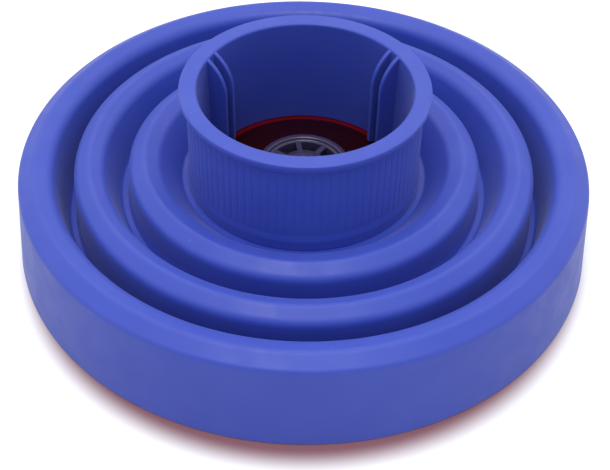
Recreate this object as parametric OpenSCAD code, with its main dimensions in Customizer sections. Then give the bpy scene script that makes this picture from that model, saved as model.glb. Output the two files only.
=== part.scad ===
// Folding hair-dryer diffuser, folded flat and lying face down.
// Z is the axis of the nozzle neck, z = 0 is the plane that the face plate's rim rests on.
// A stepped silicone bell carries the neck; three thin webs let its rings nest or stand up.

/* [Overall size] */
// Outside diameter of the skirt at its hem
skirt_d = 140; // [116:1:170]
// Height of the nozzle rim above the floor, folded flat
folded_h = 42; // [35:0.5:52]
// Height of the three fold crests above the floor
crest_h = 23.4; // [21.4:0.2:31]
// Height of the face plate's flat crown, where the hub sits
crown_h = 17.5; // [14.5:0.5:18]

/* [Nozzle neck] */
// Inside diameter at the mouth of the neck
mouth_d = 50; // [41:0.5:60]
// Depth of the plain mouth above the grip fins
mouth_depth = 3.4; // [2.5:0.1:5]
// Step from the mouth down to the throat, on the radius
throat_step = 0.4; // [0.3:0.1:0.6]
// Wall from the mouth's radius to the outside of the neck
neck_wall = 2.6; // [2:0.1:3.2]
// How far the rim lip stands out from the neck
lip_out = 1.5; // [1:0.1:2]
// Thickness of the rim lip
lip_t = 2.2; // [1.8:0.1:3]
// How far the bead at the foot of the neck stands out
bead_out = 0.7; // [0.4:0.1:1]
// Height of that bead
bead_h = 2.85; // [2:0.05:3.5]

/* [Grip fins] */
// Pairs of fins round the throat
fin_pairs = 3; // [2:1:6]
// Diameter of the circle that the fins grip
grip_d = 40.4; // [34:0.2:41]
// Thickness of one fin
fin_t = 1.1; // [0.8:0.1:1.6]
// Gap between the two fins of a pair
fin_gap = 2.2; // [1.5:0.1:3]
// Radius of the curved lead-in at the top of a fin
fin_lead = 4; // [3:0.1:4.4]
// Turn of the first pair from the X axis
fin_turn = 33; // [0:1:90]

/* [Silicone rings] */
// Wall of the skirt
skirt_wall = 2.6; // [2:0.1:3]
// Wall of the middle and inner rings
ring_wall = 2.2; // [1.8:0.1:2.6]
// How much the skirt draws in from hem to shoulder, on the radius
skirt_draft = 2; // [1.5:0.1:3]
// How far the shoulder of the skirt and of each ring falls from its crest
shoulder_h = 2.4; // [1.8:0.1:3]
// Width of that sloping shoulder
shoulder_w = 3.8; // [3:0.1:4.4]
// Width of the skirt's crest, from its shoulder to the outer web
skirt_crest_w = 6.7; // [5:0.1:7]
// Width of the middle ring's crest
middle_crest_w = 5.6; // [5:0.1:6.5]
// Width of the inner ring's crest
inner_crest_w = 5.9; // [5:0.1:6.5]
// How much the foot of a ring stands out past its crest
ring_flare = 0.8; // [0.4:0.1:1]
// How much the crests fall towards the axis
crest_fall = 0.8; // [0.4:0.1:1]
// Each valley's width as a multiple of the valley outside it
valley_growth = 1.17; // [1.05:0.01:1.3]

/* [Fold webs] */
// Thickness of the thin webs that fold
web_t = 1.4; // [1:0.1:1.6]
// Radius of the bend from a crest down into its web
web_bend = 2.6; // [1.6:0.1:2.8]
// Floor of a valley, between a web and the ring inside it
valley_floor = 1.4; // [1.2:0.1:1.6]
// Height of a web's foot above the face plate
floor_gap = 1.8; // [1:0.1:2.5]

/* [Face plate] */
// Thickness of the face plate's cone
plate_t = 1.8; // [1.4:0.1:2.2]
// Thickness of the rim flange under the skirt's hem
flange_t = 0.8; // [0.6:0.1:1.4]
// How far the rim flange stays inside the skirt
flange_inset = 1; // [0.6:0.1:1.4]
// Height of the wall that the skirt is stretched over
lock_h = 6.6; // [6:0.1:8]
// Thickness of that wall
lock_t = 1.5; // [1.2:0.1:2]
// How far its snap bead stands out into the skirt's groove
snap_out = 0.6; // [0.4:0.1:0.8]
// Height of the snap bead
snap_h = 1.4; // [1:0.1:1.8]
// Diameter of one vent hole
vent_d = 3.6; // [2.5:0.1:3.8]
// Vent holes in the inner circle
inner_vents = 18; // [12:1:24]
// Vent holes in the outer circle
outer_vents = 30; // [18:1:36]

/* [Fingers] */
// Fingers in the inner, middle and outer rings are this many times one, two and three
fingers_per_step = 6; // [4:1:7]
// Radius of the inner ring of fingers
first_finger_r = 20.5; // [19:0.5:22]
// Distance from one ring of fingers to the next
finger_pitch = 15; // [12:0.5:15]
// Diameter of a finger where it stands on the plate
finger_d = 4.6; // [3.6:0.1:5]
// Diameter of a finger's rounded tip
finger_tip_d = 3.4; // [2.6:0.1:3.6]
// Height of the fingertips above the floor
tip_gap = 1.2; // [0.8:0.1:2]

/* [Vent hub] */
// Outside diameter of the hub's ring
hub_d = 22.6; // [21:0.2:24]
// Radial width of the hub's ring
hub_ring_w = 1.7; // [1.5:0.1:2.2]
// Height of the hub's ring above its seat
hub_ring_h = 1.5; // [1:0.1:2]
// Radial clearance of the hub in the face plate
hub_clear = 0.1; // [0.05:0.01:0.2]
// Depth of the hub's grille below its ring
dish = 0.7; // [0.4:0.1:1]
// Number of spokes
spokes = 8; // [6:1:10]
// Turn of the first spoke from the X axis
spoke_turn = 10; // [0:1:45]
// Width of one spoke
spoke_w = 1.3; // [1:0.1:1.6]
// Outside diameter of the boss in the middle
boss_d = 10.4; // [6:0.2:11]
// Thickness of the hub's grille
grille_t = 1.8; // [1.4:0.1:2.4]

/* [Hidden] */
$fn = 96;
silicone = "#4353bb";
dark_red = "#3a0a10";
smoke = "#34304e";
seat_gap = 0.15;     // between a web's foot and the ring that stands on it
slide_gap = 0.3;     // between curved faces that move past each other
press_gap = 0.1;     // between pieces that are pressed together
neck_gap = 0.5;       // between the folded neck and the face plate
edge = 0.5;          // small edge break
lead_steps = 8;      // straight pieces in a fin's lead-in
arc_steps = 5;       // straight pieces in a bend

// Radii, from the skirt inwards
skirt_r = skirt_d / 2;
shoulder_r = skirt_r - skirt_draft;
outer_edge = shoulder_r - skirt_crest_w;
mouth_r = mouth_d / 2;
throat_r = mouth_r - throat_step;
neck_r = mouth_r + neck_wall;
bead_r = neck_r + bead_out;
lip_r = neck_r + lip_out;
valley_sum = outer_edge - neck_r - middle_crest_w - inner_crest_w;
valley_1 = valley_sum / (1 + valley_growth + valley_growth * valley_growth);
valley_2 = valley_1 * valley_growth;
middle_r = outer_edge - valley_1;
middle_edge = middle_r - middle_crest_w;
inner_r = middle_edge - valley_2;
inner_edge = inner_r - inner_crest_w;

// Face plate
flange_r = skirt_r - flange_inset;
lock_r = skirt_r - skirt_wall - flange_inset + press_gap;
hub_r = hub_d / 2;
barrel_r = hub_r - hub_ring_w;
hub_hole_r = barrel_r + hub_clear;
seat_r = hub_r + 0.9;
cone_end_r = lock_r - lock_t;
cone_end_z = plate_t;
cone_slope = (crown_h - cone_end_z) / (cone_end_r - seat_r);
function plate_top(r) = crown_h - cone_slope * max(0, r - seat_r);
function plate_under(r) = plate_top(r) - plate_t;

// Heights of the webs and of the rings that stand on their feet
edge_z = crest_h - crest_fall;
function foot_z(r) = plate_top(r) + floor_gap;
middle_foot = foot_z(middle_r + ring_flare - ring_wall);
inner_foot = foot_z(inner_r + ring_flare - ring_wall);
neck_foot = foot_z(neck_r + slide_gap);
neck_base = plate_top(throat_r) + neck_gap;
mouth_z = folded_h - mouth_depth;
snap_z = (flange_t + lock_h) / 2 - snap_h / 2;

// Travel of each fold: the web turns over about its crest
outer_travel = 2 * (edge_z - middle_foot - web_t);
middle_travel = 2 * (edge_z - inner_foot - web_t);
inner_travel = 2 * (edge_z - neck_foot - web_t);
echo(outer_travel = outer_travel, middle_travel = middle_travel, inner_travel = inner_travel);

function arc(cr, cz, r, from, to, n) =
    [for (i = [0:n]) let (a = from + (to - from) * i / n) [cr + r * cos(a), cz + r * sin(a)]];

// Shoulder of the skirt or of a ring whose wall ends at top_r
function shoulder(top_r) = [
    [top_r, crest_h - shoulder_h], [top_r - edge / 2, crest_h - shoulder_h + edge],
    [top_r - shoulder_w, crest_h]];

// Section of a ring from its foot to the inner edge of its crest
module ring(top_r, crest_w, base_z) {
    foot_r = top_r + ring_flare;
    rotate_extrude()
        polygon(concat(
            [[foot_r - ring_wall, base_z], [foot_r, base_z]],
            shoulder(top_r),
            [[top_r - crest_w, edge_z], [top_r - crest_w, edge_z - web_t],
             [top_r - ring_wall - 1, crest_h - web_t - 0.6],
             [top_r - ring_wall, crest_h - web_t - 2]]));
}

// Section of a web from the crest it hangs on to the foot under the next ring
module web(top_r, floor_r, foot_in, base_z) {
    rotate_extrude()
        polygon(concat(
            arc(top_r, edge_z - web_bend, web_bend, 90, 165, arc_steps),
            [[floor_r, base_z + web_t], [foot_in, base_z + web_t], [foot_in, base_z],
             [floor_r + web_t - edge, base_z], [floor_r + web_t, base_z + edge],
             [top_r, edge_z - web_t - 0.3]]));
}

module outer_skirt() {
    inner_r = lock_r + press_gap;
    hem_r = flange_r + press_gap;
    groove_r = inner_r + snap_out;
    color(silicone)
        rotate_extrude()
            polygon(concat(
                [[inner_r, flange_t], [hem_r, flange_t], [hem_r, 0], [skirt_r, 0]],
                shoulder(shoulder_r),
                [[outer_edge, edge_z], [outer_edge, edge_z - web_t],
                 [shoulder_r - skirt_wall - 0.8, crest_h - web_t - 0.9],
                 [shoulder_r - skirt_wall, crest_h - shoulder_h - 0.6],
                 [inner_r, lock_h + edge], [inner_r, snap_z + snap_h + press_gap],
                 [groove_r, snap_z + snap_h], [groove_r, snap_z],
                 [inner_r, snap_z - press_gap]]));
}

module outer_web() {
    foot_r = middle_r + ring_flare;
    color(silicone)
        web(outer_edge, foot_r + valley_floor, foot_r - ring_wall, middle_foot);
}

module middle_ring() {
    color(silicone)
        ring(middle_r, middle_crest_w, middle_foot + web_t + seat_gap);
}

module middle_web() {
    foot_r = inner_r + ring_flare;
    color(silicone)
        web(middle_edge, foot_r + valley_floor, foot_r - ring_wall, inner_foot);
}

module inner_ring() {
    color(silicone)
        ring(inner_r, inner_crest_w, inner_foot + web_t + seat_gap);
}

module inner_web() {
    color(silicone)
        web(inner_edge, bead_r + valley_floor, neck_r + slide_gap, neck_foot);
}

module neck_collar() {
    bead_z = neck_foot + web_t + seat_gap;
    color(silicone)
        rotate_extrude()
            polygon([
                [throat_r, neck_base], [neck_r, neck_base], [neck_r, bead_z], [bead_r, bead_z],
                [bead_r, bead_z + bead_h - edge], [bead_r - edge, bead_z + bead_h],
                [neck_r, bead_z + bead_h], [neck_r, folded_h - lip_t - edge],
                [lip_r - edge, folded_h - lip_t], [lip_r, folded_h - lip_t + edge],
                [lip_r, folded_h - edge], [lip_r - edge, folded_h],
                [mouth_r + edge, folded_h], [mouth_r, folded_h - edge],
                [mouth_r, mouth_z], [throat_r, mouth_z - throat_step]]);
}

// One fin: it springs from the throat wall, with a curved lead-in at the top
module fin() {
    grip_r = grip_d / 2;
    reach = throat_r - grip_r;
    root_r = throat_r + 0.3;
    top = mouth_z - throat_step - 0.2;
    rotate([90, 0, 0])
        linear_extrude(height = fin_t, center = true)
            polygon(concat(
                [[root_r, plate_top(root_r) + neck_gap], [grip_r, plate_top(grip_r) + neck_gap]],
                [for (i = [0:lead_steps]) let (a = 90 * i / lead_steps)
                    [throat_r - reach * cos(a), top - fin_lead * (1 - sin(a))]],
                [[root_r, top]]));
}

module grip_fins() {
    color(silicone)
        difference() {
            for (i = [0:fin_pairs - 1])
                rotate([0, 0, fin_turn + i * 360 / fin_pairs])
                    for (side = [-1, 1])
                        translate([0, side * (fin_gap + fin_t) / 2, 0])
                            fin();
            difference() {
                cylinder(r = neck_r, h = folded_h);
                translate([0, 0, -1])
                    cylinder(r = throat_r, h = folded_h + 2);
            }
        }
}

// Underside of one land that a ring of fingers stands on
function finger_r(step) = first_finger_r + finger_pitch * (step - 1);
land_half = finger_d / 2 + 0.2;
function land_z(step) = plate_under(finger_r(step) + land_half) - 0.2;
function land(step) = [
    [finger_r(step) + land_half, plate_under(finger_r(step) + land_half)],
    [finger_r(step) + land_half, land_z(step)],
    [finger_r(step) - land_half, land_z(step)],
    [finger_r(step) - land_half, plate_under(finger_r(step) - land_half)]];

module vents(count, r) {
    for (i = [0:count - 1])
        rotate([0, 0, (i + 0.5) * 360 / count])
            translate([r, 0, -1])
                cylinder(d = vent_d, h = crown_h + 2, $fn = 32);
}

module face_plate() {
    color(dark_red)
        difference() {
            rotate_extrude()
                polygon(concat(
                    [[hub_hole_r, crown_h], [hub_hole_r, crown_h - plate_t],
                     [seat_r, crown_h - plate_t]],
                    [for (step = [1:3]) for (i = [3:-1:0]) land(step)[i]],
                    [[cone_end_r, 0], [flange_r, 0], [flange_r, flange_t], [lock_r, flange_t],
                     [lock_r, snap_z], [lock_r + snap_out, snap_z + 0.4],
                     [lock_r + snap_out, snap_z + snap_h - 0.4], [lock_r, snap_z + snap_h],
                     [lock_r, lock_h], [cone_end_r, lock_h], [cone_end_r, cone_end_z],
                     [seat_r, crown_h]]));
            vents(inner_vents, (finger_r(1) + finger_r(2)) / 2);
            vents(outer_vents, (finger_r(2) + finger_r(3)) / 2);
        }
}

// A ring of tapered fingers with rounded tips, hanging from their land
module finger_ring(step) {
    top = land_z(step);
    tip_r = finger_tip_d / 2;
    count = fingers_per_step * step;
    color(dark_red)
        for (i = [0:count - 1])
            rotate([0, 0, i * 360 / count])
                translate([finger_r(step), 0, 0])
                    rotate_extrude($fn = 32)
                        polygon(concat(
                            [[0, top], [0, tip_gap]],
                            [for (k = [1:arc_steps]) let (a = -90 + 80 * k / arc_steps)
                                [tip_r * cos(a), tip_gap + 0.8 * tip_r * (1 + sin(a))]],
                            [[finger_d / 2, top]]));
}

module inner_fingers() {
    finger_ring(1);
}

module middle_fingers() {
    finger_ring(2);
}

module outer_fingers() {
    finger_ring(3);
}

module vent_hub() {
    boss_r = boss_d / 2;
    wedge_r = barrel_r - 0.8;
    top = crown_h + hub_ring_h;
    grille_z = top - dish;
    hook_z = crown_h - plate_t - press_gap;
    color(smoke) {
        rotate_extrude()
            polygon([
                [wedge_r, grille_z - grille_t], [wedge_r, hook_z - 1.4],
                [barrel_r, hook_z - 1.4], [barrel_r + 0.4, hook_z - 0.7],
                [barrel_r + 0.4, hook_z], [barrel_r, hook_z],
                [barrel_r, crown_h], [hub_r, crown_h],
                [hub_r, top - 0.8], [hub_r - 0.25, top - 0.25], [hub_r - 0.8, top],
                [barrel_r + 0.3, top], [barrel_r, top - 0.3], [barrel_r - 0.3, grille_z],
                [wedge_r, grille_z]]);
        translate([0, 0, grille_z - grille_t - 0.6])
            cylinder(r1 = boss_r - edge, r2 = boss_r, h = grille_t + 0.6);
        translate([0, 0, grille_z])
            cylinder(r1 = boss_r, r2 = boss_r - 1.4, h = dish);
        for (i = [0:spokes - 1])
            rotate([0, 0, spoke_turn + i * 360 / spokes])
                translate([boss_r - 0.5, -spoke_w / 2, grille_z - grille_t])
                    cube([wedge_r - boss_r + 0.8, spoke_w, grille_t - 0.2]);
    }
}

outer_skirt();
outer_web();
middle_ring();
middle_web();
inner_ring();
inner_web();
neck_collar();
grip_fins();
face_plate();
inner_fingers();
middle_fingers();
outer_fingers();
vent_hub();
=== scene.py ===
import math

import bmesh
import bpy
from bpy.props import FloatProperty, FloatVectorProperty, IntProperty, PointerProperty
from mathutils import Matrix, Vector


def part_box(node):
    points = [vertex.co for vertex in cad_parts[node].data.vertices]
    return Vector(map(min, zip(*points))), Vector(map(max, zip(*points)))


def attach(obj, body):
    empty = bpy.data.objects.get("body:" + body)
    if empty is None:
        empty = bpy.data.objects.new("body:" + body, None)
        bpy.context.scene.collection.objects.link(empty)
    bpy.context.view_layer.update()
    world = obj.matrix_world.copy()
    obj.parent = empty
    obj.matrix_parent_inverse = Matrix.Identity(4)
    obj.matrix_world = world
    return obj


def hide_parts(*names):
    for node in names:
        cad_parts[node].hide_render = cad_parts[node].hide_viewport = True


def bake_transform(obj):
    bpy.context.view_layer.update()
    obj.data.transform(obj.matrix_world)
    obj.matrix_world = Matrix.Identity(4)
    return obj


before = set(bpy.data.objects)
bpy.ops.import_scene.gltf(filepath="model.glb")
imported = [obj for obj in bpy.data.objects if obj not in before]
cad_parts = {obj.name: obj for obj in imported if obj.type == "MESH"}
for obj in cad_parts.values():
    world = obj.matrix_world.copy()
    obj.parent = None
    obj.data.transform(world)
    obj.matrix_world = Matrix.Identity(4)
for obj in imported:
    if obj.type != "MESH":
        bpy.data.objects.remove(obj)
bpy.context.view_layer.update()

bl_info = {
    "name": "Folding Diffuser",
    "version": (1, 0, 0),
    "blender": (4, 5, 0),
    "location": "3D View > Sidebar > Diffuser",
    "description": "Dresses a folding silicone hair-dryer diffuser and its stage",
    "category": "Add Mesh",
}

MM = 0.001

# The snap joint between skirt and face plate, in millimetres: the bead's heights, how far it stands
# out, how much thicker the skirt is there, and the gap between pressed pieces.
SNAP_LOW, SNAP_HIGH = 3.0, 4.4
SNAP_OUT = 0.5
LOCK_INSET = 0.8
PRESS_GAP = 0.1


# ---------------------------------------------------------------- sizes read from the frame

def low(node):
    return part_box(node)[0]


def high(node):
    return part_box(node)[1]


SKIRT_R = high("outer_skirt")[0]
HEM_Z = low("outer_skirt")[2]
CREST_Z = high("outer_skirt")[2]
OUTER_EDGE = high("outer_web")[0]
EDGE_Z = high("outer_web")[2]
LIP_R = high("neck_collar")[0]
RIM_Z = high("neck_collar")[2]
NECK_LOW = low("neck_collar")[2]
FLANGE_R = high("face_plate")[0]
CROWN_Z = high("face_plate")[2]
HUB_R = high("vent_hub")[0]
HUB_TOP = high("vent_hub")[2]
HUB_LOW = low("vent_hub")[2]


# ---------------------------------------------------------------- settings

def length(name, description, default_mm, low_mm, high_mm):
    return FloatProperty(name=name, description=description, default=default_mm * MM,
                         min=low_mm * MM, max=high_mm * MM, subtype="DISTANCE", unit="LENGTH",
                         precision=5)


def count(name, description, default, low_count, high_count):
    return IntProperty(name=name, description=description, default=default,
                       min=low_count, max=high_count)


def degrees(name, description, default):
    return FloatProperty(name=name, description=description, default=math.radians(default),
                         subtype="ANGLE", unit="ROTATION")


def amount(name, description, default):
    return FloatProperty(name=name, description=description, default=default, min=0.0, precision=4)


def colour(name, description, default):
    return FloatVectorProperty(name=name, description=description, default=default,
                               subtype="COLOR", size=3, min=0.0, max=1.0)


class BellSettings(bpy.types.PropertyGroup):
    """Sizes and colours of the silicone bell"""
    draft: length("Skirt Draft", "How much the skirt draws in towards its shoulder", 2.0, 1.5, 3.0)
    shoulder_h: length("Shoulder Height", "How far a shoulder falls from its crest", 2.4, 1.8, 3.0)
    shoulder_w: length("Shoulder Width", "Width of a sloping shoulder", 3.8, 3.0, 4.4)
    bend: length("Crest Bend", "Radius of the bend from a crest down into its web", 3.0, 1.6, 3.2)
    skirt_wall: length("Skirt Wall", "Wall of the skirt", 2.6, 2.0, 3.0)
    ring_wall: length("Ring Wall", "Wall of the middle and inner rings", 2.2, 1.8, 2.6)
    flare: length("Ring Flare", "How far a ring's foot stands out past its crest", 0.8, 0.4, 1.0)
    web: length("Web", "Thickness of the webs that fold", 1.4, 1.0, 1.6)
    neck_wall: length("Neck Wall", "Wall of the neck at its mouth", 2.6, 2.0, 3.2)
    lip: length("Rim Lip", "How far the rim lip stands out from the neck", 1.5, 1.0, 2.0)
    lip_t: length("Lip Thickness", "Thickness of the rim lip", 2.2, 1.8, 3.0)
    bead: length("Foot Bead", "How far the bead at the neck's foot stands out", 0.35, 0.2, 1.0)
    bead_h: length("Bead Height", "Height of the bead at the neck's foot", 3.3, 2.0, 4.0)
    step: length("Throat Step", "Step from the mouth to the throat", 0.4, 0.3, 0.6)
    ribs: count("Ribs", "Fine ribs round the neck", 90, 24, 120)
    rib_depth: length("Rib Depth", "Depth of the grooves between ribs", 0.14, 0.05, 0.5)
    fin_t: length("Fin", "Thickness of a grip fin", 1.1, 0.8, 1.6)
    fin_gap: length("Fin Gap", "Gap between the two fins of a pair", 2.2, 1.5, 3.0)
    fin_lead: length("Fin Lead", "Height of the curved lead-in at the top of a fin", 9.0, 5.5, 11.0)
    fin_pairs: count("Fin Pairs", "Pairs of grip fins inside the neck", 3, 1, 6)
    fin_turn: degrees("Fin Turn", "Angle of the first pair of fins about the axis", 33.0)
    fin_slope: degrees("Fin Slope", "Slope of the fins' lower ends, over the face plate", 16.6)
    grip: length("Grip Radius", "Radius of the circle that the fins grip", 20.2, 17.0, 21.0)
    pale: colour("Pale Blue", "Silicone where it is rubbed and thin", (0.031, 0.063, 0.430))
    deep: colour("Deep Blue", "Silicone body colour", (0.024, 0.051, 0.390))
    lint: colour("Lint", "Colour of the lint on the silicone", (0.45, 0.47, 0.62))


class PlateSettings(bpy.types.PropertyGroup):
    """Sizes and colours of the rigid face plate, its fingers and its hub"""
    thickness: length("Plate", "Thickness of the face plate", 1.8, 1.4, 2.2)
    flange: length("Flange", "Thickness of the rim flange", 0.8, 0.6, 1.4)
    lock_h: length("Lock Wall", "Height of the wall that the skirt is stretched over", 6.6, 6.0, 8.0)
    lock_t: length("Lock Thickness", "Thickness of that wall", 1.5, 1.2, 2.0)
    vent: length("Vent", "Radius of one vent hole", 1.8, 1.2, 1.9)
    inner_vents: count("Inner Vents", "Vent holes in the inner ring", 18, 6, 24)
    outer_vents: count("Outer Vents", "Vent holes in the outer ring", 30, 6, 40)
    fingers: count("Fingers", "Fingers in the inner ring, and how many more each next ring has", 6, 3, 6)
    finger: length("Finger", "Radius of a finger at its root", 2.3, 1.8, 2.5)
    tip: length("Fingertip", "Radius of a finger's tip", 1.7, 1.3, 1.8)
    hub_ring: length("Hub Ring", "Radial width of the hub's ring", 1.7, 1.5, 2.2)
    spokes: count("Spokes", "Spokes of the hub", 8, 4, 10)
    spoke_turn: degrees("Spoke Turn", "Angle of the first spoke about the axis", 10.0)
    spoke: length("Spoke", "Width of one spoke", 1.3, 1.0, 1.6)
    boss: length("Boss", "Radius of the boss in the hub's middle", 5.2, 3.0, 5.5)
    dish: length("Dish", "Depth of the hub's grille below its ring", 0.7, 0.4, 1.0)
    # Painted glow: the bright edge is a brighter red ring painted into the plate's colour round the
    # throat, standing in for light in the plastic's edge.
    glow_width: length("Bright Edge", "Width of the brighter edge that shows round the throat", 1.6, 0.0, 4.0)
    edge: colour("Edge Red", "Colour of that edge", (0.15, 0.003, 0.007))
    red: colour("Dark Red", "Colour of the moulded plate", (0.018, 0.0018, 0.0014))
    smoke: colour("Smoke", "Colour of the hub", (0.030, 0.017, 0.050))
    lint: colour("Lint", "Colour of the lint on the plastic", (0.35, 0.30, 0.32))


class StageSettings(bpy.types.PropertyGroup):
    """Floor, light and camera"""
    elevation: degrees("Elevation", "Camera height above the horizon", 43.61)
    roll: degrees("Roll", "Camera roll", 0.98)
    lens: amount("Lens", "Focal length of the camera, in millimetres", 70.8197)
    shift: amount("Shift", "Sideways shift of the lens", 0.0115)
    distance: length("Distance", "Camera distance from the aim point", 307.7, 100.0, 2000.0)
    aim_z: length("Aim Height", "Height of the aim point on the axis", -5.4, -50.0, 50.0)
    aside: length("Aside", "Camera offset to its left", 1.13, -20.0, 20.0)
    floor: colour("Floor", "Colour of the floor", (0.95, 0.95, 0.95))
    shade: colour("Shade", "Colour of the floor in the shadow under the hem", (0.24, 0.11, 0.13))
    shade_y: length("Shade Shift", "How far the shadow lies towards the camera", 8.0, 0.0, 30.0)
    shade_in: length("Shade Core", "Radius of the shadow's dark core", 63.0, 40.0, 90.0)
    shade_out: length("Shade Rim", "Radius where the shadow has faded out", 70.5, 40.0, 99.0)
    bounce: colour("Bounce", "Colour of the light that the floor throws back", (0.62, 0.62, 0.66))
    room: amount("Room", "Brightness of the room all round", 0.56)
    back: amount("Back", "Extra brightness of the room high up behind the object", 1.2)
    above: amount("Above", "Extra brightness of the room overhead", 0.2)
    sides: amount("Sides", "Extra brightness of the room at both sides", 0.5)


def bell():
    return bpy.context.scene.diffuser_bell


def plate():
    return bpy.context.scene.diffuser_plate


# ---------------------------------------------------------------- outlines

def rounded(corners, steps=6):
    """Closed outline in (radius, z), in metres, from corners (radius, z, rounding) in millimetres."""
    points = [Vector((r, z)) * MM for r, z, _ in corners]
    halves, reaches = [], []
    for i, at in enumerate(points):
        half = (points[i - 1] - at).angle(points[(i + 1) % len(points)] - at) / 2
        halves.append(half)
        reaches.append(corners[i][2] * MM / math.tan(half))
    for i, at in enumerate(points):
        j = (i + 1) % len(points)
        over = (reaches[i] + reaches[j]) / (0.98 * (points[j] - at).length)
        if over > 1:
            reaches[i] /= over
            reaches[j] /= over
    out = []
    for i, at in enumerate(points):
        if corners[i][2] == 0 or halves[i] > math.radians(89.5):
            out.append(at)
        else:
            after = points[(i + 1) % len(points)]
            out += arc(at, points[i - 1], after, halves[i], reaches[i], steps)
    return out


def arc(at, before, after, half, reach, steps):
    """Points of the arc that touches both sides of the corner at, this far along each."""
    back, ahead = (before - at).normalized(), (after - at).normalized()
    centre = at + (back + ahead).normalized() * (reach / math.cos(half))
    start = at + back * reach - centre
    sweep = start.angle_signed(at + ahead * reach - centre)
    return [centre + Matrix.Rotation(-sweep * i / steps, 2) @ start for i in range(steps + 1)]


def evened(outline, step=1.4 * MM, guard=0.25 * MM):
    """The outline with its long straight stretches cut up, and a short piece at each end of them."""
    out = []
    for i, a in enumerate(outline):
        b = outline[(i + 1) % len(outline)]
        out.append(a)
        run = (b - a).length
        if run > 3 * guard:
            cuts = max(1, math.ceil((run - 2 * guard) / step))
            shares = [guard / run + (1 - 2 * guard / run) * k / cuts for k in range(cuts + 1)]
            out += [a.lerp(b, s) for s in shares]
    return out


def mm(value):
    return value / MM


# ---------------------------------------------------------------- mesh makers

def new_piece(name, mesh_bm):
    """A smooth-shaded object from a bmesh, with closed, outward-facing faces."""
    bmesh.ops.recalc_face_normals(mesh_bm, faces=mesh_bm.faces)
    mesh = bpy.data.meshes.new(name)
    mesh_bm.to_mesh(mesh)
    mesh_bm.free()
    mesh.polygons.foreach_set("use_smooth", [True] * len(mesh.polygons))
    mesh.set_sharp_from_angle(angle=math.radians(40))
    piece = bpy.data.objects.new(name, mesh)
    bpy.context.scene.collection.objects.link(piece)
    return piece


def lathe(name, outline, turns, shape=None):
    """Turns a closed outline about the axis in this many steps. shape may change a point's radius."""
    mesh_bm = bmesh.new()
    rows = []
    for k in range(turns):
        angle = 2 * math.pi * k / turns
        row = []
        for p in outline:
            r = shape(p.x, p.y, angle) if shape else p.x
            row.append(mesh_bm.verts.new((r * math.cos(angle), r * math.sin(angle), p.y)))
        rows.append(row)
    for k in range(turns):
        this, after = rows[k], rows[(k + 1) % turns]
        for i in range(len(outline)):
            j = (i + 1) % len(outline)
            mesh_bm.faces.new((this[i], this[j], after[j], after[i]))
    return new_piece(name, mesh_bm)


def spin_into(mesh_bm, line, turns, centre=(0.0, 0.0)):
    """Turns an open line that starts and ends on the vertical through centre into a closed solid."""
    first = mesh_bm.verts.new((centre[0], centre[1], line[0].y))
    last = mesh_bm.verts.new((centre[0], centre[1], line[-1].y))
    rows = []
    for k in range(turns):
        angle = 2 * math.pi * k / turns
        c, s = math.cos(angle), math.sin(angle)
        rows.append([mesh_bm.verts.new((centre[0] + p.x * c, centre[1] + p.x * s, p.y))
                     for p in line[1:-1]])
    for k in range(turns):
        this, after = rows[k], rows[(k + 1) % turns]
        mesh_bm.faces.new((first, this[0], after[0]))
        for i in range(len(this) - 1):
            mesh_bm.faces.new((this[i], this[i + 1], after[i + 1], after[i]))
        mesh_bm.faces.new((this[-1], last, after[-1]))


def prism_into(mesh_bm, outline, half, place):
    """Extrudes a flat (x, z) outline by half to each side along Y, then moves it by the matrix place."""
    sides = []
    for y in (-half, half):
        sides.append([mesh_bm.verts.new(place @ Vector((p.x, y, p.y))) for p in outline])
    mesh_bm.faces.new(sides[0])
    mesh_bm.faces.new(reversed(sides[1]))
    for i in range(len(outline)):
        j = (i + 1) % len(outline)
        mesh_bm.faces.new((sides[0][j], sides[0][i], sides[1][i], sides[1][j]))


def apply_modifiers(piece):
    """Replaces the piece's mesh by what its modifiers make of it."""
    depsgraph = bpy.context.evaluated_depsgraph_get()
    made = bpy.data.meshes.new_from_object(piece.evaluated_get(depsgraph))
    old = piece.data
    piece.modifiers.clear()
    piece.data = made
    made.name = piece.name
    bpy.data.meshes.remove(old)
    return piece


def bevel(piece, width_mm, segments, limit_deg=35.0):
    """Rounds the edges that are sharper than the limit."""
    rounding = piece.modifiers.new("Rounding", "BEVEL")
    rounding.width = width_mm * MM
    rounding.segments = segments
    rounding.limit_method = "ANGLE"
    rounding.angle_limit = math.radians(limit_deg)
    rounding.harden_normals = False
    return apply_modifiers(piece)


def cut_away(piece, cutter):
    """Cuts the cutter's shape out of the piece and removes the cutter."""
    cut = piece.modifiers.new("Cut", "BOOLEAN")
    cut.operation = "DIFFERENCE"
    cut.solver = "EXACT"
    cut.object = cutter
    bpy.context.view_layer.update()
    apply_modifiers(piece)
    cutter_mesh = cutter.data
    bpy.data.objects.remove(cutter)
    bpy.data.meshes.remove(cutter_mesh)


# ---------------------------------------------------------------- shader groups

def group(name, inputs, outputs):
    """A new shader node group with named sockets, and its input and output nodes."""
    tree = bpy.data.node_groups.new(name, "ShaderNodeTree")
    for label, kind, default in inputs:
        socket = tree.interface.new_socket(label, in_out="INPUT", socket_type=kind)
        socket.default_value = default
    for label, kind in outputs:
        tree.interface.new_socket(label, in_out="OUTPUT", socket_type=kind)
    return tree, tree.nodes.new("NodeGroupInput"), tree.nodes.new("NodeGroupOutput")


def noise(tree, scale, detail, roughness=0.5):
    node = tree.nodes.new("ShaderNodeTexNoise")
    node.inputs["Detail"].default_value = detail
    node.inputs["Roughness"].default_value = roughness
    if isinstance(scale, (int, float)):
        node.inputs["Scale"].default_value = scale
    else:
        tree.links.new(scale, node.inputs["Scale"])
    return node


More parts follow.
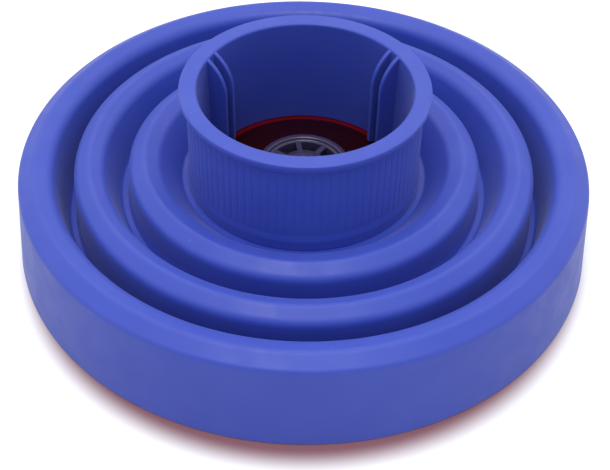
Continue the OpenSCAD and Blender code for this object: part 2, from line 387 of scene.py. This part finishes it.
def spread(tree, value, from_low, from_high, to_low=0.0, to_high=1.0):
    """Maps a value from one range to another, smoothly and clamped."""
    node = tree.nodes.new("ShaderNodeMapRange")
    node.interpolation_type = "SMOOTHSTEP"
    tree.links.new(value, node.inputs["Value"])
    for label, number in (("From Min", from_low), ("From Max", from_high),
                          ("To Min", to_low), ("To Max", to_high)):
        node.inputs[label].default_value = number
    return node.outputs["Result"]


def maths(tree, operation, a, b):
    node = tree.nodes.new("ShaderNodeMath")
    node.operation = operation
    for socket, value in zip(node.inputs, (a, b)):
        if isinstance(value, (int, float)):
            socket.default_value = value
        else:
            tree.links.new(value, socket)
    return node.outputs[0]


def blend_colours(tree, factor, a, b):
    node = tree.nodes.new("ShaderNodeMix")
    node.data_type = "RGBA"
    for socket, value in ((node.inputs[0], factor), (node.inputs[6], a), (node.inputs[7], b)):
        if isinstance(value, bpy.types.NodeSocket):
            tree.links.new(value, socket)
        elif isinstance(value, (int, float)):
            socket.default_value = value
        else:
            socket.default_value = (*value, 1.0)
    return node.outputs[2]


def make_cloudy():
    """Slow variation of colour, as in moulded silicone or plastic."""
    tree, given, made = group("cloudy", [("Scale", "NodeSocketFloat", 30.0),
                                         ("Amount", "NodeSocketFloat", 0.5)],
                              [("Mask", "NodeSocketFloat")])
    place = tree.nodes.new("ShaderNodeTexCoord")
    cloud = noise(tree, given.outputs["Scale"], 3.0)
    tree.links.new(place.outputs["Object"], cloud.inputs["Vector"])
    mask = spread(tree, cloud.outputs["Fac"], 0.3, 0.7)
    tree.links.new(maths(tree, "MULTIPLY", mask, given.outputs["Amount"]), made.inputs["Mask"])
    return tree


def make_grain():
    """Fine surface texture left by the mould: a height, and a mask that varies the roughness."""
    tree, given, made = group("mould_grain", [("Scale", "NodeSocketFloat", 2500.0)],
                              [("Height", "NodeSocketFloat"), ("Mask", "NodeSocketFloat")])
    place = tree.nodes.new("ShaderNodeTexCoord")
    fine = noise(tree, given.outputs["Scale"], 2.0, 0.6)
    tree.links.new(place.outputs["Object"], fine.inputs["Vector"])
    wide = noise(tree, 140.0, 4.0, 0.6)
    tree.links.new(place.outputs["Object"], wide.inputs["Vector"])
    tree.links.new(fine.outputs["Fac"], made.inputs["Height"])
    tree.links.new(spread(tree, wide.outputs["Fac"], 0.35, 0.65), made.inputs["Mask"])
    return tree


def make_lint():
    """Specks of lint and fine dust that settle on upward faces."""
    tree, given, made = group("lint", [("Amount", "NodeSocketFloat", 0.3)],
                              [("Mask", "NodeSocketFloat")])
    place = tree.nodes.new("ShaderNodeTexCoord")
    facing = tree.nodes.new("ShaderNodeNewGeometry")
    split = tree.nodes.new("ShaderNodeSeparateXYZ")
    tree.links.new(facing.outputs["Normal"], split.inputs["Vector"])
    up = spread(tree, split.outputs["Z"], 0.2, 0.95)
    speck = tree.nodes.new("ShaderNodeTexVoronoi")
    speck.inputs["Scale"].default_value = 420.0
    tree.links.new(place.outputs["Object"], speck.inputs["Vector"])
    dots = spread(tree, speck.outputs["Distance"], 0.10, 0.02)
    where = noise(tree, 55.0, 3.0)
    tree.links.new(place.outputs["Object"], where.inputs["Vector"])
    patches = spread(tree, where.outputs["Fac"], 0.52, 0.68)
    mask = maths(tree, "MULTIPLY", maths(tree, "MULTIPLY", dots, patches), up)
    tree.links.new(maths(tree, "MULTIPLY", mask, given.outputs["Amount"]), made.inputs["Mask"])
    return tree


def place_group(tree, name, maker, **values):
    """Places the shared group of that name, made when it is first needed, with these inputs."""
    node = tree.nodes.new("ShaderNodeGroup")
    node.node_tree = bpy.data.node_groups.get(name) or maker()
    for label, value in values.items():
        node.inputs[label].default_value = value
    return node


def new_material(name):
    material = bpy.data.materials.new(name)
    material.use_nodes = True
    tree = material.node_tree
    return material, tree, tree.nodes["Principled BSDF"]


def bump(tree, height, strength, distance_mm):
    node = tree.nodes.new("ShaderNodeBump")
    node.inputs["Strength"].default_value = strength
    node.inputs["Distance"].default_value = distance_mm * MM
    tree.links.new(height, node.inputs["Height"])
    return node.outputs["Normal"]


def silicone():
    """Satin blue silicone with a powdery bloom."""
    found = bpy.data.materials.get("blue_silicone")
    if found:
        return found
    material, tree, shader = new_material("blue_silicone")
    cloud = place_group(tree, "cloudy", make_cloudy, Scale=38.0, Amount=0.6)
    grain = place_group(tree, "mould_grain", make_grain, Scale=2600.0)
    lint = place_group(tree, "lint", make_lint, Amount=0.35)
    body = blend_colours(tree, cloud.outputs["Mask"], bell().deep, bell().pale)
    dusty = blend_colours(tree, lint.outputs["Mask"], body, bell().lint)
    tree.links.new(dusty, shader.inputs["Base Color"])
    rough = spread(tree, grain.outputs["Mask"], 0.0, 1.0, 0.44, 0.52)
    tree.links.new(rough, shader.inputs["Roughness"])
    tree.links.new(bump(tree, grain.outputs["Height"], 0.12, 0.05), shader.inputs["Normal"])
    shader.inputs["Specular IOR Level"].default_value = 0.6
    shader.inputs["Sheen Weight"].default_value = 0.12
    shader.inputs["Sheen Roughness"].default_value = 0.5
    shader.inputs["Sheen Tint"].default_value = (0.75, 0.80, 1.0, 1.0)
    shader.inputs["IOR"].default_value = 1.42
    return material


def make_ring_band():
    """A mask of the ring between two radii about the axis, with a soft inner side."""
    tree, given, made = group("ring_band", [("Inner", "NodeSocketFloat", 0.0),
                                            ("Outer", "NodeSocketFloat", 1.0)],
                              [("Mask", "NodeSocketFloat")])
    place = tree.nodes.new("ShaderNodeTexCoord")
    flat = tree.nodes.new("ShaderNodeVectorMath")
    flat.operation = "MULTIPLY"
    flat.inputs[1].default_value = (1.0, 1.0, 0.0)
    tree.links.new(place.outputs["Object"], flat.inputs[0])
    size = tree.nodes.new("ShaderNodeVectorMath")
    size.operation = "LENGTH"
    tree.links.new(flat.outputs["Vector"], size.inputs[0])
    radius = size.outputs["Value"]
    past_inner = maths(tree, "SUBTRACT", radius, given.outputs["Inner"])
    outward = spread(tree, past_inner, -0.8 * MM, 0.8 * MM)
    inward = maths(tree, "LESS_THAN", radius, given.outputs["Outer"])
    tree.links.new(maths(tree, "MULTIPLY", outward, inward), made.inputs["Mask"])
    return tree


def dark_plastic(name, tone, gloss, edge=None):
    """Glossy moulded plastic with faint flow marks and lint.

    gloss is its specular level, and edge the colour of the painted glow round the throat, a brighter red
    ring that stands in for light in the plastic's edge.
    """
    found = bpy.data.materials.get(name)
    if found:
        return found
    material, tree, shader = new_material(name)
    cloud = place_group(tree, "cloudy", make_cloudy, Scale=60.0, Amount=0.5)
    grain = place_group(tree, "mould_grain", make_grain, Scale=900.0)
    lint = place_group(tree, "lint", make_lint, Amount=0.25)
    deeper = tuple(0.6 * c for c in tone)
    body = blend_colours(tree, cloud.outputs["Mask"], tone, deeper)
    # Painted glow: a brighter red ring round the throat, painted into the plate's colour.
    if edge:
        b = bell()
        throat_r = LIP_R - b.lip - b.neck_wall - b.step
        glow_band = place_group(tree, "ring_band", make_ring_band,
                           Inner=throat_r - plate().glow_width, Outer=throat_r + 0.6 * MM)
        body = blend_colours(tree, glow_band.outputs["Mask"], body, edge)
    dusty = blend_colours(tree, lint.outputs["Mask"], body, plate().lint)
    tree.links.new(dusty, shader.inputs["Base Color"])
    rough = spread(tree, grain.outputs["Mask"], 0.0, 1.0, 0.14, 0.24)
    tree.links.new(rough, shader.inputs["Roughness"])
    tree.links.new(bump(tree, grain.outputs["Height"], 0.05, 0.02), shader.inputs["Normal"])
    shader.inputs["Specular IOR Level"].default_value = gloss
    shader.inputs["IOR"].default_value = 1.49
    return material


def red_plastic():
    return dark_plastic("dark_red_plastic", plate().red, 0.05, plate().edge)


def finish_piece(piece, material, node):
    """Gives the piece its material in one slot, and hides the CAD node that it stands for."""
    piece.data.materials.clear()
    piece.data.materials.append(material)
    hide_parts(node)


# ---------------------------------------------------------------- silicone pieces
# In the outlines, a corner is (radius, height, rounding) in millimetres.

def crest_z(r, edge_r, line_r):
    """Height of a crest, which falls in a straight line from line_r to its inner edge."""
    return CREST_Z + (EDGE_Z - CREST_Z) * (line_r - r) / (line_r - edge_r)


def skirt_outline():
    """The skirt's wall, the groove that grips the face plate, and the outer half of its crest."""
    b = bell()
    top_r = SKIRT_R - b.draft
    line_r = top_r - b.shoulder_w
    seam_r = (line_r + OUTER_EDGE) / 2
    seam_z = crest_z(seam_r, OUTER_EDGE, line_r)
    lock_r = mm(SKIRT_R - b.skirt_wall) - LOCK_INSET
    groove_r = lock_r + SNAP_OUT + PRESS_GAP
    hem_r = mm(FLANGE_R) + PRESS_GAP
    flange, lock_top = mm(plate().flange), mm(plate().lock_h)
    return rounded([
        (lock_r, flange, 0.1), (hem_r, flange, 0.1), (hem_r, mm(HEM_Z), 0.15),
        (mm(SKIRT_R), mm(HEM_Z), 0.35), (mm(top_r), mm(CREST_Z - b.shoulder_h), 1.5),
        (mm(line_r), mm(CREST_Z), 1.6), (mm(seam_r), mm(seam_z), 0),
        (mm(seam_r), mm(seam_z - b.web) - 0.3, 0),
        (mm(top_r - b.skirt_wall) - 0.8, mm(CREST_Z - b.web) - 0.9, 1.0),
        (mm(top_r - b.skirt_wall), mm(CREST_Z - b.shoulder_h) - 0.8, 0.8),
        (lock_r, lock_top + 0.6, 0.4), (lock_r, SNAP_HIGH + 0.2, 0.1), (groove_r, SNAP_HIGH, 0.1),
        (groove_r, SNAP_LOW, 0.1), (lock_r, SNAP_LOW - 0.2, 0.1)])


def fold_outline(line_r, edge_r, web_node, wall_r, wall_in):
    """The inner half of a crest, the web under it, and the foot that the next ring stands on."""
    b = bell()
    seam_r = (line_r + edge_r) / 2
    seam_z = crest_z(seam_r, edge_r, line_r)
    corner_r = edge_r - 0.53 * b.bend
    corner_z = crest_z(corner_r, edge_r, line_r)
    foot = mm(low(web_node)[2])
    web = mm(b.web)
    floor_r = mm(wall_r) + web
    return rounded([
        (mm(seam_r), mm(seam_z), 0), (mm(corner_r), mm(corner_z), mm(b.bend)),
        (floor_r + 0.2, foot + web, 0.9), (mm(wall_in), foot + web, 0),
        (mm(wall_in), foot, 0.4), (floor_r + web, foot, 1.2),
        (mm(edge_r) - 0.1, mm(EDGE_Z) - web - 1.2, 1.6), (mm(seam_r), mm(seam_z - b.web) - 0.3, 0)],
        steps=10)


def ring_lines(ring_node, web_node):
    """Radii of a ring: its crest's outside, the ridge where its crest starts, its inner edge."""
    crest_r = high(ring_node)[0] - bell().flare
    return crest_r, crest_r - bell().shoulder_w, high(web_node)[0]


def ring_outline(ring_node, web_node):
    """A ring's flared wall with the outer half of its crest."""
    b = bell()
    crest_r, line_r, edge_r = ring_lines(ring_node, web_node)
    seam_r = (line_r + edge_r) / 2
    seam_z = crest_z(seam_r, edge_r, line_r)
    base = mm(low(ring_node)[2]) - 0.3
    wall_in = mm(crest_r + b.flare - b.ring_wall)
    return rounded([
        (wall_in, base, 0.3), (mm(crest_r + b.flare), base, 0.2),
        (mm(crest_r) + 0.1, base + 2.0, 2.0),
        (mm(crest_r), mm(CREST_Z - b.shoulder_h), 2.4), (mm(line_r), mm(CREST_Z), 1.6),
        (mm(seam_r), mm(seam_z), 0), (mm(seam_r), mm(seam_z - b.web) - 0.3, 0),
        (mm(crest_r - b.ring_wall) - 1.0, mm(CREST_Z - b.web) - 0.8, 0.8),
        (mm(crest_r - b.ring_wall), mm(CREST_Z - b.web) - 2.4, 0.8)])


def neck_levels():
    """Outer radius of the neck's wall, and the heights of its foot and of its bead's top."""
    b = bell()
    foot = low("inner_web")[2] + b.web
    return LIP_R - b.lip, foot, foot + 0.15 * MM + b.bead_h


def neck_outline():
    """The neck's wall with the rim lip, the bead at its foot and the step inside its mouth."""
    b = bell()
    neck_r, foot, bead_top = neck_levels()
    mouth_r = neck_r - b.neck_wall
    throat_r = mouth_r - b.step
    neck, bead = mm(neck_r), mm(neck_r + b.bead)
    rim, top = mm(RIM_Z), mm(bead_top)
    under = rim - mm(b.lip_t)
    base = mm(NECK_LOW) - 0.35
    return rounded([
        (mm(throat_r), base, 0.3), (neck, base - 0.9, 0.3), (neck, mm(foot) - 0.4, 0),
        (bead, mm(foot) + 0.3, 0.8), (bead, top - 0.7, 1.8), (neck, top + 0.9, 3.0),
        (neck, under - 0.6, 1.6), (mm(LIP_R), under + 0.8, 1.2), (mm(LIP_R), rim, 0.3),
        (mm(mouth_r), rim, 0.55)])


def ribbed():
    """Shape for lathe: scalloped ribs on the neck's outside, fading out towards lip and bead."""
    b = bell()
    neck_r, _, bead_top = neck_levels()
    foot_z = bead_top + 0.6 * MM
    top_z = RIM_Z - b.lip_t
    ribs, depth = b.ribs, b.rib_depth

    def shape(r, z, angle):
        if abs(r - neck_r) > 0.12 * MM or not foot_z < z < top_z:
            return r
        fade = min(1.0, (z - foot_z) / (1.2 * MM), (top_z - z) / (1.6 * MM))
        scallop = 1 - abs(math.cos(ribs * angle / 2))
        return r - depth * fade * scallop ** 2.2

    return shape


class Piece:
    """Shared by the operators: registered, and can be undone."""
    bl_options = {"REGISTER", "UNDO"}


class DIFFUSER_OT_skirt(Piece, bpy.types.Operator):
    """Build the wide outer skirt of the bell"""
    bl_idname = "diffuser.skirt"
    bl_label = "Skirt"

    def execute(self, context):
        piece = lathe("skirt_shell", evened(skirt_outline()), turns=360)
        finish_piece(piece, silicone(), "outer_skirt")
        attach(piece, "base")
        return {"FINISHED"}


class DIFFUSER_OT_rings(Piece, bpy.types.Operator):
    """Build the two nested rings of the bell"""
    bl_idname = "diffuser.rings"
    bl_label = "Rings"

    def execute(self, context):
        for body, web_node in (("middle", "middle_web"), ("inner", "inner_web")):
            ring_node = f"{body}_ring"
            outline = evened(ring_outline(ring_node, web_node))
            piece = lathe(f"{ring_node}_shell", outline, turns=320)
            finish_piece(piece, silicone(), ring_node)
            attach(piece, body)
        return {"FINISHED"}


class DIFFUSER_OT_folds(Piece, bpy.types.Operator):
    """Build the three thin webs between the rings, which fold on the real bell; here they stay fixed"""
    bl_idname = "diffuser.folds"
    bl_label = "Fold Webs"

    def execute(self, context):
        b = bell()
        skirt_line = SKIRT_R - b.draft - b.shoulder_w
        neck_r = LIP_R - b.lip
        middle_r, middle_line, middle_edge = ring_lines("middle_ring", "middle_web")
        inner_r, inner_line, inner_edge = ring_lines("inner_ring", "inner_web")
        walls = [r + b.flare for r in (middle_r, inner_r)] + [neck_r + b.bead]
        insides = [w - b.ring_wall for w in walls[:2]] + [neck_r - 0.3 * MM]
        folds = (("outer_web", "base", "middle", skirt_line, OUTER_EDGE),
                 ("middle_web", "middle", "inner", middle_line, middle_edge),
                 ("inner_web", "inner", "neck", inner_line, inner_edge))
        for (node, hangs_on, holds, line_r, edge_r), wall, inside in zip(folds, walls, insides):
            outline = evened(fold_outline(line_r, edge_r, node, wall, inside), step=0.7 * MM)
            piece = lathe(f"{node}_shell", outline, turns=320)
            finish_piece(piece, silicone(), node)
            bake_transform(piece)
        return {"FINISHED"}


class DIFFUSER_OT_neck(Piece, bpy.types.Operator):
    """Build the ribbed neck with its lip and bead"""
    bl_idname = "diffuser.neck"
    bl_label = "Neck"

    def execute(self, context):
        outline = evened(neck_outline(), step=1.0 * MM)
        piece = lathe("neck_shell", outline, turns=bell().ribs * 10, shape=ribbed())
        finish_piece(piece, silicone(), "neck_collar")
        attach(piece, "neck")
        return {"FINISHED"}


class DIFFUSER_OT_fins(Piece, bpy.types.Operator):
    """Build the pairs of grip fins inside the neck"""
    bl_idname = "diffuser.fins"
    bl_label = "Grip Fins"

    def execute(self, context):
        b = bell()
        mouth = mm(LIP_R - b.lip - b.neck_wall)
        root, grip = mouth + 0.5, mm(b.grip)
        top, bottom, lead_h = mm(RIM_Z) - 0.25, mm(low("grip_fins")[2]), mm(b.fin_lead)
        # The lead-in is an arc that leaves the grip radius upright and ends at the mouth's radius.
        sweep = 2 * math.atan((mouth - grip) / lead_h)
        bow = lead_h / math.sin(sweep)
        lead = [(grip + bow * (1 - math.cos(a)), top - lead_h + bow * math.sin(a))
                for a in (sweep * k / 10 for k in range(11))]
        foot = [(root, bottom), (grip, bottom + (root - grip) * math.tan(b.fin_slope))]
        outline = [Vector(q) * MM for q in foot + lead + [(root, top)]]
        mesh_bm = bmesh.new()
        for pair in range(b.fin_pairs):
            turn = Matrix.Rotation(b.fin_turn + 2 * math.pi * pair / b.fin_pairs, 4, "Z")
            for side in (-1, 1):
                aside = Matrix.Translation((0, side * (b.fin_gap + b.fin_t) / 2, 0))
                prism_into(mesh_bm, outline, b.fin_t / 2, turn @ aside)
        piece = bevel(new_piece("grip_fin_pairs", mesh_bm), 0.28, 3)
        finish_piece(piece, silicone(), "grip_fins")
        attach(piece, "neck")
        return {"FINISHED"}


# ---------------------------------------------------------------- plastic pieces

def finger_ring_r(node):
    """Radius of the ring that a node's fingers stand on."""
    return high(node)[0] - plate().finger


def plate_radii():
    """Radii of the hub's seat, of the cone's end and of the lock wall, in millimetres."""
    seat = mm(HUB_R) + 0.9
    lock_r = mm(SKIRT_R - bell().skirt_wall) - LOCK_INSET - PRESS_GAP
    return seat, lock_r - mm(plate().lock_t), lock_r


def plate_top(r):
    """Height of the cone's upper face at this radius, in millimetres."""
    seat, end, _ = plate_radii()
    low_z = mm(plate().thickness)
    return mm(CROWN_Z) - (mm(CROWN_Z) - low_z) * max(0.0, r - seat) / (end - seat)


def plate_outline():
    """The cone with its hub seat, the lands under the fingers, the flange and the lock wall."""
    p = plate()
    seat, end, lock_r = plate_radii()
    t = mm(p.thickness)
    hole = mm(HUB_R - p.hub_ring) + 0.1
    crown = mm(CROWN_Z)
    half = mm(p.finger) + 0.2
    under = [(hole, crown, 0.15), (hole, crown - t, 0.15), (seat, crown - t, 2.0)]
    for node in ("inner_fingers", "middle_fingers", "outer_fingers"):
        r = mm(finger_ring_r(node))
        land = mm(high(node)[2])
        under += [(r - half, plate_top(r - half) - t, 0.5), (r - half, land, 0.4),
                  (r + half, land, 0.1), (r + half, plate_top(r + half) - t, 0.1)]
    flange, lock_h, bead_r = mm(p.flange), mm(p.lock_h), lock_r + SNAP_OUT
    return rounded(under + [
        (end, 0, 1.5), (mm(FLANGE_R), 0, 0.3), (mm(FLANGE_R), flange, 0.3), (lock_r, flange, 0.1),
        (lock_r, SNAP_LOW, 0.1), (bead_r, SNAP_LOW + 0.4, 0.2), (bead_r, SNAP_HIGH - 0.4, 0.2),
        (lock_r, SNAP_HIGH, 0.1),
        (lock_r, lock_h, 0.4), (end, lock_h, 0.4), (end, t, 0.8), (seat, crown, 2.5)])


def vent_cutter(rings):
    """One object with a pin for every vent hole, flared at its lower end."""
    p = plate()
    mesh_bm = bmesh.new()
    flare, reach = p.vent + 1.4 * MM, 6 * MM
    for vents, r in rings:
        under = (plate_top(r) - mm(p.thickness)) * MM
        line = [Vector(q) for q in ((0, under - 1.4 * MM), (flare, under - 1.4 * MM),
                                    (p.vent, under + 0.25 * MM), (p.vent, under + reach),
                                    (0, under + reach))]
        for i in range(vents):
            angle = 2 * math.pi * (i + 0.5) / vents
            place = (r * MM * math.cos(angle), r * MM * math.sin(angle))
            spin_into(mesh_bm, line, 28, place)
    return new_piece("vent_cutter", mesh_bm)


class DIFFUSER_OT_plate(Piece, bpy.types.Operator):
    """Build the vented face plate"""
    bl_idname = "diffuser.plate"
    bl_label = "Face Plate"

    def execute(self, context):
        p = plate()
        radii = [mm(finger_ring_r(n)) for n in ("inner_fingers", "middle_fingers", "outer_fingers")]
        rings = [(p.inner_vents, (radii[0] + radii[1]) / 2), (p.outer_vents, (radii[1] + radii[2]) / 2)]
        piece = lathe("face_plate_shell", evened(plate_outline(), step=2.0 * MM), turns=240)
        cut_away(piece, vent_cutter(rings))
        piece.data.set_sharp_from_angle(angle=math.radians(32))
        finish_piece(piece, red_plastic(), "face_plate")
        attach(piece, "base")
        return {"FINISHED"}


class DIFFUSER_OT_fingers(Piece, bpy.types.Operator):
    """Build the three rings of fingers under the face plate"""
    bl_idname = "diffuser.fingers"
    bl_label = "Fingers"

    def execute(self, context):
        p = plate()
        for step, name in enumerate(("inner", "middle", "outer"), start=1):
            node = f"{name}_fingers"
            ring = mm(finger_ring_r(node))
            top, tip = mm(high(node)[2]), mm(low(node)[2])
            root, end = mm(p.finger), mm(p.tip)
            dome = min(end, 0.75 * (top - tip))
            sides = [(end * math.cos(a), tip + dome * (1 + math.sin(a)))
                     for a in (math.radians(-90 + 9 * k) for k in range(1, 11))]
            fillet = [(end + (root - end) * s ** 2.2, tip + dome + (top - tip - dome) * s)
                      for s in (0.15, 0.3, 0.45, 0.6, 0.72, 0.82, 0.9, 0.96, 1.0)]
            line = [(0, tip)] + sides + fillet + [(0, top)]
            mesh_bm = bmesh.new()
            fingers = p.fingers * step
            for i in range(fingers):
                angle = 2 * math.pi * i / fingers
                place = (ring * MM * math.cos(angle), ring * MM * math.sin(angle))
                spin_into(mesh_bm, [Vector(q) * MM for q in line], 28, place)
            piece = new_piece(f"{name}_finger_set", mesh_bm)
            finish_piece(piece, red_plastic(), node)
            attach(piece, "base")
        return {"FINISHED"}


class DIFFUSER_OT_hub(Piece, bpy.types.Operator):
    """Build the spoked vent hub"""
    bl_idname = "diffuser.hub"
    bl_label = "Vent Hub"

    def execute(self, context):
        p = plate()
        barrel = mm(HUB_R - p.hub_ring)
        wedge = barrel - 0.8
        crown, top, bottom = mm(CROWN_Z), mm(HUB_TOP), mm(HUB_LOW)
        grille = top - mm(p.dish)
        hook = crown - mm(p.thickness) - 0.1
        boss = mm(p.boss)
        line = rounded([
            (0, grille - 2.4, 0), (boss, grille - 2.4, 0.6), (boss, grille - 1.8, 0.2),
            (wedge, grille - 1.8, 0.4), (wedge, bottom, 0.2), (barrel, bottom, 0.3),
            (barrel + 0.4, hook - 0.7, 0.1), (barrel + 0.4, hook, 0.1), (barrel, hook, 0.05),
            (barrel, crown, 0.05), (mm(HUB_R), crown, 0.1), (mm(HUB_R), top, 0.8),
            (barrel, top, 0.5), (barrel - 0.3, grille, 0.4), (boss, grille, 0.4),
            (boss - 1.4, top, 0.9), (0, top, 0)], steps=5)
        mesh_bm = bmesh.new()
        spin_into(mesh_bm, line, 128)
        piece = new_piece("hub_grille", mesh_bm)
        cutter_bm = bmesh.new()
        for i in range(p.spokes):
            turn = p.spoke_turn + 2 * math.pi * (i + 0.5) / p.spokes
            self.wedge_into(cutter_bm, turn, wedge - 0.15, boss + 0.3)
        cut_away(piece, new_piece("wedge_cutter", cutter_bm))
        bevel(piece, 0.18, 2, 50.0)
        piece.data.set_sharp_from_angle(angle=math.radians(40))
        material = dark_plastic("smoke_plastic", p.smoke, 0.25)
        finish_piece(piece, material, "vent_hub")
        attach(piece, "base")
        return {"FINISHED"}

    def wedge_into(self, mesh_bm, turn, outer, inner):
        """A wedge-shaped opening between two spokes, from the inner to the outer radius."""
        p = plate()
        far, near = (math.pi / p.spokes - math.asin(mm(p.spoke) / 2 / r) for r in (outer, inner))
        rim = [(outer * math.cos(t), outer * math.sin(t))
               for t in (-far + 2 * far * k / 8 for k in range(9))]
        back = [(inner * math.cos(t), inner * math.sin(t))
                for t in (near - 2 * near * k / 4 for k in range(5))]
        spin = Matrix.Rotation(turn, 2)
        flat = [spin @ (Vector(q) * MM) for q in rim + back]
        sides = [[mesh_bm.verts.new((q.x, q.y, z)) for q in flat]
                 for z in (HUB_LOW - 2 * MM, HUB_TOP + 2 * MM)]
        mesh_bm.faces.new(reversed(sides[0]))
        mesh_bm.faces.new(sides[1])
        for i in range(len(flat)):
            j = (i + 1) % len(flat)
            mesh_bm.faces.new((sides[0][i], sides[0][j], sides[1][j], sides[1][i]))


# ---------------------------------------------------------------- stage

def soft_light(name, place, size, power):
    """A white rectangular lamp at place that shines at the object's middle."""
    lamp = bpy.data.lights.new(name, "AREA")
    lamp.shape = "RECTANGLE"
    lamp.size, lamp.size_y = size
    lamp.energy = power
    light = bpy.data.objects.new(name, lamp)
    light.location = place
    light.rotation_euler = (Vector((0, 0, 0.02)) - Vector(place)).to_track_quat("-Z", "Y").to_euler()
    bpy.context.scene.collection.objects.link(light)


class DIFFUSER_OT_stage(Piece, bpy.types.Operator):
    """Lay the floor, hang the lights and place the camera"""
    bl_idname = "diffuser.stage"
    bl_label = "Stage"

    def execute(self, context):
        self.make_floor(context.scene)
        self.make_light(context.scene)
        self.make_camera(context.scene)
        context.scene.view_settings.view_transform = "Standard"
        context.scene.view_settings.look = "None"
        return {"FINISHED"}

    def make_floor(self, scene):
        """A white floor with a soft shadow under the near side of the hem."""
        mesh_bm = bmesh.new()
        bmesh.ops.create_grid(mesh_bm, x_segments=4, y_segments=4, size=3.0)
        mesh = bpy.data.meshes.new("floor")
        mesh_bm.to_mesh(mesh)
        mesh_bm.free()
        floor = bpy.data.objects.new("floor", mesh)
        scene.collection.objects.link(floor)
        material, tree, shader = new_material("pale_floor")
        path = tree.nodes.new("ShaderNodeLightPath")
        stage = scene.diffuser_stage
        place = tree.nodes.new("ShaderNodeTexCoord")
        shifted = tree.nodes.new("ShaderNodeVectorMath")
        shifted.inputs[1].default_value = (0.0, stage.shade_y, 0.0)
        tree.links.new(place.outputs["Object"], shifted.inputs[0])
        radius = tree.nodes.new("ShaderNodeVectorMath")
        radius.operation = "LENGTH"
        tree.links.new(shifted.outputs["Vector"], radius.inputs[0])
        lit = spread(tree, radius.outputs["Value"], stage.shade_in, stage.shade_out)
        shown = blend_colours(tree, lit, stage.shade, stage.floor)
        seen = blend_colours(tree, path.outputs["Is Camera Ray"], stage.bounce, shown)
        tree.links.new(seen, shader.inputs["Base Color"])
        shader.inputs["Roughness"].default_value = 0.9
        shader.inputs["Specular IOR Level"].default_value = 0.1
        mesh.materials.append(material)

    def make_light(self, scene):
        """A white room that is brighter behind, above and at both sides, and two soft lamps."""
        s = scene.diffuser_stage
        world = bpy.data.worlds.new("soft_studio")
        world.use_nodes = True
        tree = world.node_tree
        place = tree.nodes.new("ShaderNodeTexCoord")
        way = tree.nodes.new("ShaderNodeSeparateXYZ")
        tree.links.new(place.outputs["Generated"], way.inputs["Vector"])
        high_up = spread(tree, way.outputs["Z"], 0.25, 0.65)
        behind = maths(tree, "MULTIPLY", spread(tree, way.outputs["Y"], 0.0, 0.75), high_up)
        aside = spread(tree, maths(tree, "ABSOLUTE", way.outputs["X"], 0.0), 0.35, 0.95)
        overhead = spread(tree, way.outputs["Z"], 0.35, 0.95)
        glow = s.room
        for share, extra in ((behind, s.back), (overhead, s.above), (aside, s.sides)):
            glow = maths(tree, "ADD", maths(tree, "MULTIPLY", share, extra), glow)
        background = tree.nodes["Background"]
        background.inputs["Color"].default_value = (1.0, 1.0, 1.0, 1.0)
        tree.links.new(glow, background.inputs["Strength"])
        scene.world = world
        soft_light("front_softbox", (-0.06, -0.28, 0.95), (0.5, 0.4), 4.5)
        soft_light("top_softbox", (0.0, 0.05, 0.9), (0.12, 0.12), 0.6)

    def make_camera(self, scene):
        s = scene.diffuser_stage
        lens = bpy.data.cameras.new("camera")
        lens.sensor_width = 36.0
        lens.lens = s.lens
        lens.shift_x = s.shift
        lens.clip_start, lens.clip_end = 0.01, 20.0
        camera = bpy.data.objects.new("camera", lens)
        scene.collection.objects.link(camera)
        back = Vector((0, -math.cos(s.elevation), math.sin(s.elevation)))
        camera.rotation_mode = "QUATERNION"
        facing = (-back).to_track_quat("-Z", "Y")
        roll = Matrix.Rotation(s.roll, 4, "Z").to_quaternion()
        camera.rotation_quaternion = facing @ roll
        camera.location = Vector((-s.aside, 0, s.aim_z)) + back * s.distance
        scene.camera = camera


# ---------------------------------------------------------------- add-on

OPERATORS = (DIFFUSER_OT_skirt, DIFFUSER_OT_rings, DIFFUSER_OT_folds, DIFFUSER_OT_neck,
             DIFFUSER_OT_fins, DIFFUSER_OT_plate, DIFFUSER_OT_fingers, DIFFUSER_OT_hub,
             DIFFUSER_OT_stage)
SETTINGS = {"diffuser_bell": BellSettings, "diffuser_plate": PlateSettings,
            "diffuser_stage": StageSettings}


class DIFFUSER_PT_sidebar(bpy.types.Panel):
    """Lists the pieces and their sizes"""
    bl_idname = "DIFFUSER_PT_sidebar"
    bl_label = "Folding Diffuser"
    bl_space_type = "VIEW_3D"
    bl_region_type = "UI"
    bl_category = "Diffuser"

    def draw(self, context):
        layout = self.layout
        for operator in OPERATORS:
            layout.operator(operator.bl_idname)
        for name, settings in SETTINGS.items():
            box = layout.box()
            box.label(text=settings.__doc__)
            for field in settings.__annotations__:
                box.prop(getattr(context.scene, name), field)


def register():
    for cls in (*SETTINGS.values(), *OPERATORS, DIFFUSER_PT_sidebar):
        bpy.utils.register_class(cls)
    for name, settings in SETTINGS.items():
        setattr(bpy.types.Scene, name, PointerProperty(type=settings))


def unregister():
    for name in SETTINGS:
        delattr(bpy.types.Scene, name)
    for cls in reversed((*SETTINGS.values(), *OPERATORS, DIFFUSER_PT_sidebar)):
        bpy.utils.unregister_class(cls)


def main():
    register()
    for operator in OPERATORS:
        call = getattr(bpy.ops.diffuser, operator.bl_idname.split(".")[1])
        if call() != {"FINISHED"}:
            raise RuntimeError(f"{operator.bl_label} did not finish")


if __name__ == "__main__":
    main()
